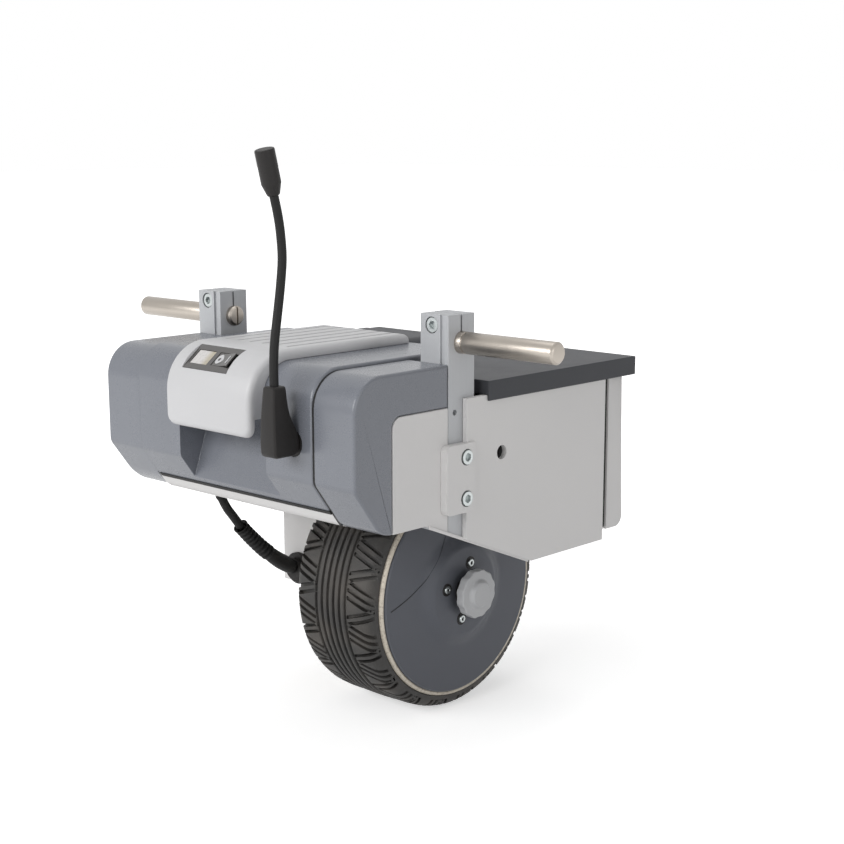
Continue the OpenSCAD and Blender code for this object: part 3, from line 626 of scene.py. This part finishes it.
def broken_edges(node, radius, segments, *rounds, shape=None):
    """A copy of a solid with rounded edges, after any shaping and wider rounds on chosen edges."""
    piece = solid_copy(node, node + "_rounded")
    if shape:
        shape(piece)
    for wide, steps, test in rounds:
        round_edges(piece, wide, steps, test)
    softened(piece, radius, segments, 40, miter_outer="MITER_ARC")
    placed(piece, body_of[node], slot_of[node], node)
    applied(piece, "WEIGHTED_NORMAL", keep_sharp=True)
    return piece


# Leads


def route(points, steps):
    """Points along a smooth curve through a lead's own route."""
    ends = [2 * points[0] - points[1]] + points + [2 * points[-1] - points[-2]]
    line = []
    for a, b, c, d in zip(ends, ends[1:], ends[2:], ends[3:]):
        for i in range(steps):
            t = i / steps
            line.append(0.5 * (2 * b + (c - a) * t + (2 * a - 5 * b + 4 * c - d) * t * t
                               + (3 * b - a - 3 * c + d) * t ** 3))
    return line + [points[-1]]


def lead(name, line, diameter):
    """A round curve along a line."""
    curve = bpy.data.curves.new(name, "CURVE")
    curve.dimensions = "3D"
    curve.bevel_depth = diameter / 2
    curve.bevel_resolution = 6
    curve.use_fill_caps = True
    spline = curve.splines.new("POLY")
    spline.points.add(len(line) - 1)
    for corner, point in zip(spline.points, line):
        corner.co = (*point, 1)
    return new_object(name, curve)


def length_of(line):
    return sum((b - a).length for a, b in zip(line, line[1:]))


def control_lead():
    """The lead from its plug on the pack up to the in-line connector."""
    places = [(-15, 280), (-15, 295), (-14, 310), (-11, 328), (-8, 346), (-6, 364), (-7, 380), (-9, 392),
              (-12, 404)]
    line = route([at(PLUG_X, y, z) for y, z in places], 4)
    piece = placed(lead("control_lead", line, 0.006), "battery", "black_rubber", "control_cable")
    return piece, line


def motor_lead():
    """The motor's lead from the tray's gland to its bend protector."""
    places = [(72, BODY_BASE), (72, 171), (74, 167.5), (79, 158.7), (85, 151), BOOT_TOP]
    line = route([at(MOTOR_LEAD_X, y, z) for y, z in places], 4)
    piece = placed(lead("motor_lead_cable", line, 0.007), "chassis", "black_rubber", "motor_lead")
    return piece, line


def ribbed_boot():
    """The lead's bend protector: rings round its upper half, then a plain barrel down to the plug."""
    places = [BOOT_TOP, (99, 134.5), (106, 127.5), (114, 120), (122, 113.5), (130, 107.5), (137, 103),
              (143, 99.5), (146, 98)]
    line = route([at(MOTOR_LEAD_X, y, z) for y, z in places], 10)
    ribs = [6.1, 6.1] + [5.2 + 0.012 * i + (0.7 if i % 4 < 2 else -0.9) for i in range(2, 38)]
    barrel = [5.6 + 0.8 * math.sin(math.pi * i / 42) for i in range(len(line) - len(ribs))]
    radii = ribs + barrel
    fresh()
    bpy.ops.mesh.primitive_circle_add(vertices=28, radius=radii[0] * MM)
    piece = bpy.context.object
    piece.name = "ribbed_boot"
    into_edit(piece)
    ahead = [(b - a).normalized() for a, b in zip(line, line[1:])]
    ahead.append(ahead[-1])
    facing = Vector((0, 0, 1))
    place = Vector((0, 0, 0))
    for i, (point, heading) in enumerate(zip(line, ahead)):
        if i:
            bpy.ops.mesh.extrude_region_move()
        bpy.ops.transform.translate(value=point - place)
        turn = facing.angle(heading)
        swing = facing.cross(heading)
        if turn > 1e-4:
            bpy.ops.transform.rotate(value=-math.copysign(turn, swing.x), orient_axis="X",
                                     center_override=point)
        ring = radii[i] / radii[max(i - 1, 0)]
        bpy.ops.transform.resize(value=(ring, ring, ring), center_override=point)
        facing, place = heading, point
    out_of_edit()
    return placed(piece, "chassis", "black_rubber", "lead_boot", angle=50)


# Wheel


def tread_cutters():
    """Slots that part the shoulder into lugs, three leaning one way and two the other, round the tyre."""
    length, half, sets = 21, 1.45, 18
    dip = math.radians(12)
    middle = at(28.8, AXLE_Y, AXLE_Z + 93.9)
    tread_r = 94
    cutters = []
    for lag, lean in ((0, -3.6), (-6, -3.6), (-12, -3.6), (7.4, 3.2), (13, 3.2)):
        slot = block("tread_slot", (-12.2, -half, -2.9), (14.6, half, 6))
        swung(slot, -math.atan2(2 * lean, length), "Z", MM_ZERO)
        swung(slot, -dip, "Y", MM_ZERO)
        shifted(slot, middle - MM_ZERO)
        swung(slot, lag / tread_r, "X", HUB_CENTRE)
        into_edit(slot)
        bpy.ops.mesh.spin(steps=sets, dupli=True, angle=2 * math.pi, center=HUB_CENTRE, axis=(1, 0, 0))
        out_of_edit()
        cutters.append(slot)
    return joined(cutters)


def tyre():
    """A turned carcass with rounded ribs round its middle and lugs cut into both shoulders."""
    shoulder = [(80.5, -36.5), (83.6, -36.5), (84.6, -40.2), (85.6, -40.8), (87.2, -40.7), (89.6, -40.2),
                (92.0, -38.9), (93.9, -36.6), (95.0, -33.2), (95.5, -27), (95.6, -19.5), (95.5, -17.4)]
    grooves = (-15.5, -9.3, -3.1, 3.1, 9.3, 15.5)
    outline = list(shoulder)
    for x in grooves:
        top = TYRE_R - 0.5 * (x / 20) ** 2
        outline += [(top - 0.5, x - 1.5), (93.6, x - 0.95), (93.4, x), (93.6, x + 0.95), (top - 0.5, x + 1.5)]
        if x < grooves[-1]:
            outline += [(top - 0.08, x + 2.3), (top, x + 3.1), (top - 0.08, x + 3.9)]
    outline += [(r, -x) for r, x in reversed(shoulder)]
    piece = turned("tyre_tread", outline + outline[:1], 180)
    right_slots = tread_cutters()
    left_slots = swung(copy_of(right_slots, "tread_slots_left"), math.pi, "Z", HUB_CENTRE)
    for slots in (right_slots, left_slots):
        tidy_mesh(slots)
        cut_away(piece, slots)
    return placed(piece, "wheel", "tyre_rubber", "tyre", angle=28)


def rim_lips():
    """The rim's rounded edges on either side of the tyre."""
    outline = [(81.6, 37), (81.6, 42.2), (81.9, 43.0), (82.7, 43.4), (83.6, 43.1), (84.3, 42.3), (84.7, 41),
               (84.7, 39.6), (84.2, 38.2), (83.2, 37), (81.6, 37)]
    right = turned("right_rim_lip", outline, 160)
    left = turned("left_rim_lip", [(r, -x) for r, x in outline], 160)
    for lip in (right, left):
        placed(lip, "wheel", "rim_alloy")


def hub_cover():
    """The wheel's dished cover, raised to a flat face round the knob."""
    bore = 9.04
    outline = [(bore, 42), (81, 42), (81.5, 42.6), (81.4, 43.6), (80.4, 44.5), (78, 44.7), (50, 44.6),
               (46, 44.9), (43.5, 45.7), (40.5, 47.4), (37.5, 49.4), (35.4, 50.6), (33, HUB_FACE),
               (9.7, HUB_FACE), (bore, 50.5), (bore, 42)]
    piece = turned("hub_cover_disc", outline, 160)
    placed(piece, "wheel", "hub_plastic", "hub_cover")
    hub_hairline(piece)


def hub_hairline(cover):
    """Fine curved moulding line, laid on the cover's face."""
    places = [(-15.1, 46.6), (-24, 33.5), (-35, 20.7), (-42.2, 13), (-51.3, 7.1), (-64.2, 1.6), (-76.2, -2.3)]
    width = Vector((0, 0.4, 0.8)) * MM
    piece = traced("hub_hairline", route([at(47, AXLE_Y + y, AXLE_Z + z) for y, z in places], 6))
    into_edit(piece)
    bpy.ops.mesh.extrude_region_move(TRANSFORM_OT_translate={"value": width})
    out_of_edit()
    tidy_mesh(piece)
    applied(piece, "SHRINKWRAP", target=cover, wrap_method="PROJECT", use_project_x=True,
            use_negative_direction=True, use_positive_direction=True, offset=0.12 * MM)
    applied(piece, "SOLIDIFY", thickness=0.3 * MM, offset=0)
    return placed(piece, "wheel", "black_plastic")


def screw_ring(name, part_name, outline):
    """An outline of (radius, x) pairs turned about a hub screw's axis, at the four screws and joined."""
    first_turn, quarter = -13, 90
    piece = shifted(turned(part_name, outline, 36), (0, 0, SCREW_CIRCLE * MM))
    ring = [swung(copy_of(piece, f"{name}_{i + 1}"), -math.radians(quarter * i + first_turn), "X", HUB_CENTRE)
            for i in range(4)]
    bpy.data.objects.remove(piece)
    whole = joined(ring)
    whole.name = name
    return whole


def hub_screws():
    """Screws with hollowed heads; the black discs in the hollows and the black rings round the heads are
    painted shade.
    """
    head = [(0, HUB_FACE), (3.0, HUB_FACE), (3.0, 52.3), (2.7, 52.8), (1.5, 52.9), (1.3, 52.6), (1.2, 51.6),
            (0, 51.6)]
    socket_shade = [(0, 51.6), (1.18, 51.6), (1.18, 52.2), (1.0, 52.35), (0, 52.35)]
    well_shade = [(3.1, 51.0), (5.0, 51.0), (5.0, 51.3), (4.7, 51.45), (3.1, 51.3), (3.1, 51.0)]
    placed(screw_ring("hub_screw_heads", "screw_head", head), "wheel", "zinc_screw", "hub_screws")
    # Black discs in the heads' hollows: painted shade.
    placed(screw_ring("hub_screw_socket_shades", "screw_socket_shade", socket_shade), "wheel", "black_plastic")
    # Black rings round the heads: painted shade.
    placed(screw_ring("hub_screw_well_shades", "screw_well_shade", well_shade), "wheel", "black_plastic")


def knob_sleeve():
    """Ribbed sleeve on the knob's stem, black: partly its own colour, partly painted shade under the knob."""
    bore, low, high = 11.6, 51.5, 57.7
    outline = [(bore, low)]
    for i in range(6):
        outline += [(12.1, 51.6 + i), (12.7, 51.9 + i), (12.7, 52.2 + i), (12.1, 52.5 + i)]
    sleeve = turned("knob_sleeve", outline + [(bore, high), (bore, low)], 64)
    return placed(sleeve, "knob", "black_plastic")


# Battery pack


def tilted(degrees, axis):
    return Matrix.Rotation(math.radians(degrees), 4, axis)


def window_frame():
    """The display window's own axes, with z square to its pane, on the panel's rear bend."""
    slant, pane_out = 38, 28.93
    bend = Matrix.Translation(at(WINDOW_X, PANEL_REAR + PANEL_ROUND, PANEL_TOP - PANEL_ROUND))
    return bend @ tilted(slant, "X") @ Matrix.Translation((0, 0, pane_out * MM))


def control_panel():
    """The light cover over the pack's middle, with slots between its ribs and room for the window."""
    half, low, front = 45, 243, 140
    wide, gap = 60, 0.1
    rib_pitch, half_slot, slot_rear, slot_floor = 13, 1, 33, 297.4
    window_half_x, window_half_y = 23.6, 11.6
    piece = block("panel_moulding", (-half, PANEL_REAR, low), (half, front, PANEL_TOP))
    round_edges(piece, 8, 6, both(on_plane(Z, low * MM), along(Y)))
    round_edges(piece, PANEL_ROUND, 14, on_line(PANEL_REAR, PANEL_TOP))
    round_edges(piece, 4.5, 5, bordering(lambda n: abs(n.x) < 0.02 and n.z > -0.01 and n.y < 0.5))
    pack = block("pack_room", (-wide, -gap, 150), (wide, 200, PACK_TOP + gap))
    round_edges(pack, BODY_ROUND + gap, 12, on_line(-gap, PACK_TOP + gap))
    cut_away(piece, pack)
    cut_away(piece, block("lip_room", (-wide, -8, 230), (wide, 2, 256)))
    middles = [rib_pitch * i for i in (-2.5, -1.5, -0.5, 0.5, 1.5, 2.5)]
    slots = [block("rib_slot", (x - half_slot, slot_rear, slot_floor), (x + half_slot, 150, 305))
             for x in middles]
    cut_away(piece, joined(slots))
    window = block("window_room", (-window_half_x, -window_half_y, -8), (window_half_x, window_half_y, 30))
    shifted(window, -MM_ZERO)
    window.matrix_world = window_frame()
    cut_away(piece, settled(window))
    softened(piece, 0.6, 2, 45)
    return placed(piece, "battery", "panel_plastic", "control_panel", angle=30)


def ring_mark(name, radius, width, thick):
    """A flat ring about the origin, taller than wide."""
    fresh()
    bpy.ops.mesh.primitive_circle_add(vertices=40, radius=radius * MM, fill_type="NGON")
    piece = bpy.context.object
    piece.name = name
    into_edit(piece, "FACE")
    bpy.ops.mesh.inset(thickness=width * MM)
    bpy.ops.mesh.delete(type="FACE")
    bpy.ops.mesh.select_all(action="SELECT")
    bpy.ops.mesh.extrude_region_move(TRANSFORM_OT_translate={"value": (0, 0, thick * MM)})
    bpy.ops.transform.resize(value=(0.9, 1.2, 1))
    out_of_edit()
    return piece


def window_marks():
    """The signs 0 and I on the rocker's two ends."""
    thick, height, lean = 0.2, 4.24, 4.45
    rocker_x, pivot_z, rest_tilt = 11.5, -1.817, -7
    pivot = window_frame() @ Matrix.Translation((rocker_x * MM, 0, pivot_z * MM)) @ tilted(rest_tilt, "Y")
    off = ring_mark("rocker_mark_off", 3.6, 2.2, thick)
    on = shifted(block("rocker_mark_on", (-0.7, -3.4, 0), (0.7, 3.4, thick)), -MM_ZERO)
    round_edges(on, 0.6, 3, along(Z))
    for mark, x, slope in ((off, -4.7, lean), (on, 4.9, -lean)):
        tidy_mesh(mark)
        mark.matrix_world = pivot @ Matrix.Translation((x * MM, 0, height * MM)) @ tilted(slope, "Y")
        placed(settled(mark), "rocker", "panel_plastic")


def plug_body():
    """The control lead's plug, which narrows upwards to the lead."""
    half, neck, top = 7.5, 250, 282.5
    foot = [(-19.5, 236), (-6.2, 236), (-3.6, 236.6), (-1.6, 238), (-0.5, 240), (-0.15, 242.4)]
    front = [(-0.3, 246), (-1.2, 250.5), (-3, 255), (-5.2, 259.5), (-7, 264), (-8, 269), (-8.6, 275)]
    end = [(-9, 281.5), (-10, top), (-19.5, top), (-20.6, 281.5)]
    back = [(-21.5, 270), (-22, 258), (-22, 244), (-21.8, 239), (-21, 237)]
    outline = foot + front + end + back
    piece = side_profile("plug_body", outline, PLUG_X - half, PLUG_X + half)
    for level in sorted({z for y, z in outline if z > neck}):
        narrow = 1 - 0.3 * (level - neck) / (top - neck)
        choose_corners(piece, lambda place: abs(place.z - level * MM) < NEAR)
        bpy.ops.transform.resize(value=(narrow, 1, 1), center_override=at(PLUG_X, 0, 0))
        out_of_edit()
    round_edges(piece, 1.7, 4, around_end)
    return placed(piece, "battery", "black_plastic", "control_plug", angle=35)


# Body


def seam_strip(name, low, high, slot, body, sunk, foot):
    """Strip along the seam beside the pack, from a foot on the slope up the rear and over the top; in black
    it is painted shade in the gap.
    """
    thick, front = 1.0, 86
    slope_in = (0.806, 0.592)
    turn_r, turn_z = 7.62, 220.5
    deep = sunk + thick / 2
    outline = [(foot[0] + slope_in[0] * deep, foot[1] + slope_in[1] * deep)]
    outline += arc(turn_r, turn_z, turn_r - deep, 216.3, 180, 6)
    outline += arc(BODY_ROUND, BODY_TOP - BODY_ROUND, BODY_ROUND - deep, 180, 90, 14)
    outline += [(front, BODY_TOP - deep)]
    return placed(ribbon(name, low, high, outline, thick), body, slot)


def tray_seam_shade():
    """Black strip in the joint between the pack and the tray under it: painted shade in the gap."""
    piece = ribbon("tray_seam_shade", -90, PACK_SIDE, [(15.05, 197.25), (16.75, 194.95)], 0.8)
    return placed(piece, "chassis", "black_rubber")


def front_cover():
    """The front cover with rounded corners and a groove behind each of its side strips, with a black strip in
    each groove as painted shade.
    """
    top = 262
    piece = solid_copy("front_cover", "front_cover_rounded")
    round_edges(piece, 5.5, 6, both(on_plane(Y, at(0, COVER_FRONT, 0).y), upright))
    for side, name in ((1, "right_cover_groove_shade"), (-1, "left_cover_groove_shade")):
        left, right = sorted((side * 124.8, side * 135))
        cut_away(piece, block("strip_groove", (left, 268, 130), (right, 272.2, top)))
        # Black strip in the groove: painted shade.
        left, right = sorted((side * 124.4, side * 126))
        groove_shade = block(name, (left, 268.6, 146), (right, 271.6, top))
        round_edges(groove_shade, 0.5, 3, upright)
        placed(groove_shade, "chassis", "black_rubber")
    softened(piece, 0.7, 2, 40)
    return placed(piece, "chassis", "cast_grey", "front_cover")


def slope_trims():
    """Thin pale edging along the sloping lower edge of each side."""
    rear, front, high, drop, thick = 69, 173, 184.2, 43.1, 2.5
    inner, outer = CAP_SIDE + 0.05, CAP_SIDE + 1.3
    outline = [(rear, high), (front, high - drop), (front, high - drop - thick), (rear, high - thick)]
    for name, left, right in (("left_slope_trim", -outer, -inner), ("right_slope_trim", inner, outer)):
        piece = side_profile(name, outline, left, right)
        round_edges(piece, 0.4, 2, around_end)
        placed(piece, "chassis", "cast_grey")


def slotted_pins():
    """The mounting pins, with a screwdriver slot across each inner end."""
    half_slot, inner, floor, low, high = 0.9, 99, 102.4, 290, 320
    for node, left, right in (("left_pin", -floor, -inner), ("right_pin", inner, floor)):
        piece = solid_copy(node, node + "_slotted")
        cut_away(piece, block("pin_slot", (left, PIN_Y - half_slot, low), (right, PIN_Y + half_slot, high)))
        softened(piece, 0.4, 2, 40)
        placed(piece, body_of[node], "pin_steel", node)


# Stage and light


def studio():
    """White surroundings, a white floor that fades into them, and three lamps."""
    world = bpy.data.worlds.new("studio")
    bpy.context.scene.world = world
    world.use_nodes = True
    sky = Nodes(world.node_tree)
    background = sky.tree.nodes["Background"]
    level = sky.node("ShaderNodeMapRange", output="Result", Value=sky.seen(), To_Min=0.24, To_Max=1.0)
    feed(sky.tree, background.inputs["Color"], (1, 1, 1, 1))
    feed(sky.tree, background.inputs["Strength"], level)

    fresh()
    bpy.ops.mesh.primitive_plane_add(size=30, location=(0, 0, 0))
    floor = bpy.context.object
    floor.name = "floor"
    paper = Finish("floor_paper", Roughness=0.9)
    paper.set("Base Color", (0.88, 0.88, 0.88, 1))
    away = paper.node("ShaderNodeVectorMath", {"operation": "LENGTH"}, "Value", i0=paper.place)
    fade = paper.steps(away, (0.25, 0.5), (0.9, 1))
    paper.set("Emission Color", paper.between((0, 0, 0, 1), (1, 1, 1, 1), paper.seen() * fade))
    paper.set("Emission Strength", 1.0)
    floor.data.materials.append(paper.material)

    aim = Vector((0, 0, 0.2))
    for name, place, width, height, power in (("key_light", (-0.3, -2.3, 1.2), 2.4, 1.0, 45),
                                              ("side_light", (2.3, -0.4, 0.8), 1.5, 1.2, 11.5),
                                              ("top_light", (-0.2, 0.3, 2.4), 1.8, 1.8, 13)):
        lamp = bpy.data.lights.new(name, "AREA")
        lamp.shape = "RECTANGLE"
        lamp.size = width
        lamp.size_y = height
        lamp.energy = power
        light = new_object(name, lamp)
        light.location = place
        light.rotation_euler = (aim - light.location).to_track_quat("-Z", "Y").to_euler()


bpy.context.scene.view_settings.view_transform = "Standard"
photo_camera()
cable, cable_line = control_lead()
motor_cable, motor_line = motor_lead()
plug = plug_body()
connector = broken_edges("cable_connector", 0.9, 2)
length_of(cable_line)
boot = ribbed_boot()
length_of(motor_line)

tyre()
rim_lips()
hub_cover()
hub_screws()
knob_sleeve()
control_panel()
window_marks()
slotted_pins()
slope_trims()
# Black strip in the right seam: painted shade in the gap between the pack and the cap.
seam_strip("right_seam_shade", PACK_SIDE + 0.05, PACK_SIDE + 2.6, "black_rubber", "chassis", 0.25, RIGHT_FOOT)
seam_strip("left_seal", -PACK_SIDE - 1.7, -PACK_SIDE - 0.02, "body_plastic", "chassis", -0.03, LEFT_FOOT)
seam_strip("left_pack_edge", -PACK_SIDE, -PACK_SIDE + 0.7, "body_plastic", "battery", -0.03, LEFT_FOOT)
tray_seam_shade()
front_cover()
for node, radius, segments in (
        ("left_side_casting", 0.8, 2),
        ("right_side_casting", 0.8, 2),
        ("electronics_lid", 1.5, 3),
        ("wheel_leg", 1.2, 3),
        ("clamp_screws", 0.5, 2),
        ("left_pinch_screw", 0.5, 2),
        ("right_pinch_screw", 0.5, 2),
        ("wheel_rim", 0.8, 2),
        ("hub_knob", 1.0, 3),
        ("axle_nut", 0.8, 2),
        ("motor_socket", 0.8, 2),
        ("lead_gland", 0.8, 2),
        ("lead_plug", 0.6, 2),
        ("axle", 0.8, 2),
        ("display_window", 0.25, 2),
        ("indicator_lens", 0.3, 2),
        ("power_rocker", 0.3, 2)):
    broken_edges(node, radius, segments)
broken_edges("left_end_cap", 0.5, 2, (2.5, 4, rear_corner), (17, 10, low_corner),
             (2.2, 4, on_side(-CAP_SIDE)))
broken_edges("right_end_cap", 0.5, 2, (2.5, 4, rear_corner), (8, 6, low_corner),
             (2.2, 4, on_side(CAP_SIDE)), (1.6, 3, on_side(CAP_SEAM)))
broken_edges("battery_case", 0.5, 2, (2.2, 4, either(rear_corner, on_side(PACK_SIDE))))
broken_edges("base_tray", 0.8, 2, (7.0, 6, low_corner))
for node in ("left_mount_bar", "right_mount_bar"):
    broken_edges(node, 0.6, 2, shape=slanted_foot)
for node in ("left_side_plate", "right_side_plate"):
    broken_edges(node, 0.8, 2, (4.0, 5, ear_corners))
studio()
